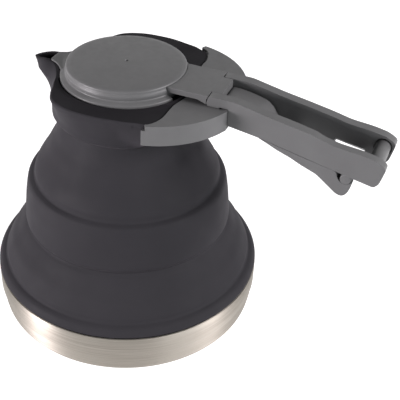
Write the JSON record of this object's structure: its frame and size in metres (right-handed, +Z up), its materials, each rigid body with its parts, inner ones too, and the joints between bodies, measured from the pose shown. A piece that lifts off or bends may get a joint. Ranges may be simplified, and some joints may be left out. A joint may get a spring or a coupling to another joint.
{
  "type": "collapsible kettle",
  "caption": "Camping kettle whose ribbed silicone body folds down in tiers into its steel pan, with a lift-off lid, a swing-up twin-arm handle and a hook latch",
  "frame": {"origin": "centre of the flat underside, on the table", "axes": "+Z up along the body's axis, +X towards the handle, spout towards -X"},
  "size_m": [0.2932, 0.205, 0.2062],
  "materials": {
    "silicone": "matt charcoal food-grade silicone",
    "pan": "stainless steel brushed round the wall",
    "heat_disc": "plain machined",
    "fixings": "plain stainless steel",
    "plastic": "finely textured mid-grey nylon",
    "latch": "finely textured dark grey nylon",
    "seal": "soft grey silicone"
  },
  "bodies": {
    "base": {"steel_base_pan": "pan", "base_heat_disc": "heat_disc", "base_clamp_ring": "fixings", "silicone_base_tier": "silicone", "silicone_lower_web": "silicone"},
    "middle_tier": {"silicone_middle_tier": "silicone", "silicone_upper_web": "silicone"},
    "neck": {"silicone_neck": "silicone", "neck_stiffener_ring": "plastic", "collar": "plastic", "collar_screw_1": "fixings", "collar_screw_2": "fixings", "lid_keeper_plate": "plastic", "keeper_screw_1": "fixings", "keeper_screw_2": "fixings", "handle_hinge_pin": "fixings", "latch_pivot_pin": "fixings"},
    "handle": {"handle_arm_left": "plastic", "handle_arm_right": "plastic", "handle_end_bar": "plastic", "handle_end_pin": "fixings", "latch_bar": "fixings"},
    "latch": {"latch_frame": "latch"},
    "lid": {"lid_shell": "plastic", "lid_plug": "plastic", "lid_gasket": "seal"}
  },
  "joints": [
    {"name": "lower_fold", "type": "slide", "parent": "base", "child": "middle_tier", "axis": [0, 0, -1], "range_m": [0, 0.052], "deforming": ["silicone_lower_web"]},
    {"name": "upper_fold", "type": "slide", "parent": "middle_tier", "child": "neck", "axis": [0, 0, -1], "range_m": [0, 0.06], "deforming": ["silicone_upper_web"]},
    {"name": "handle_hinge", "type": "hinge", "parent": "neck", "child": "handle", "pos_m": [0.0725, 0, 0.1996], "axis": [0, -1, 0], "range_deg": [0, 95]},
    {"name": "latch_hinge", "type": "hinge", "parent": "neck", "child": "latch", "pos_m": [0.099, 0, 0.1866], "axis": [0, 1, 0], "range_deg": [0, 38]},
    {"name": "lid_lift", "type": "slide", "parent": "neck", "child": "lid", "axis": [0, 0, 1], "range_m": [0, 0.06]}
  ],
  "couplings": [
    {"joint": "upper_fold", "follows": "lower_fold", "ratio": 1.15}
  ]
}
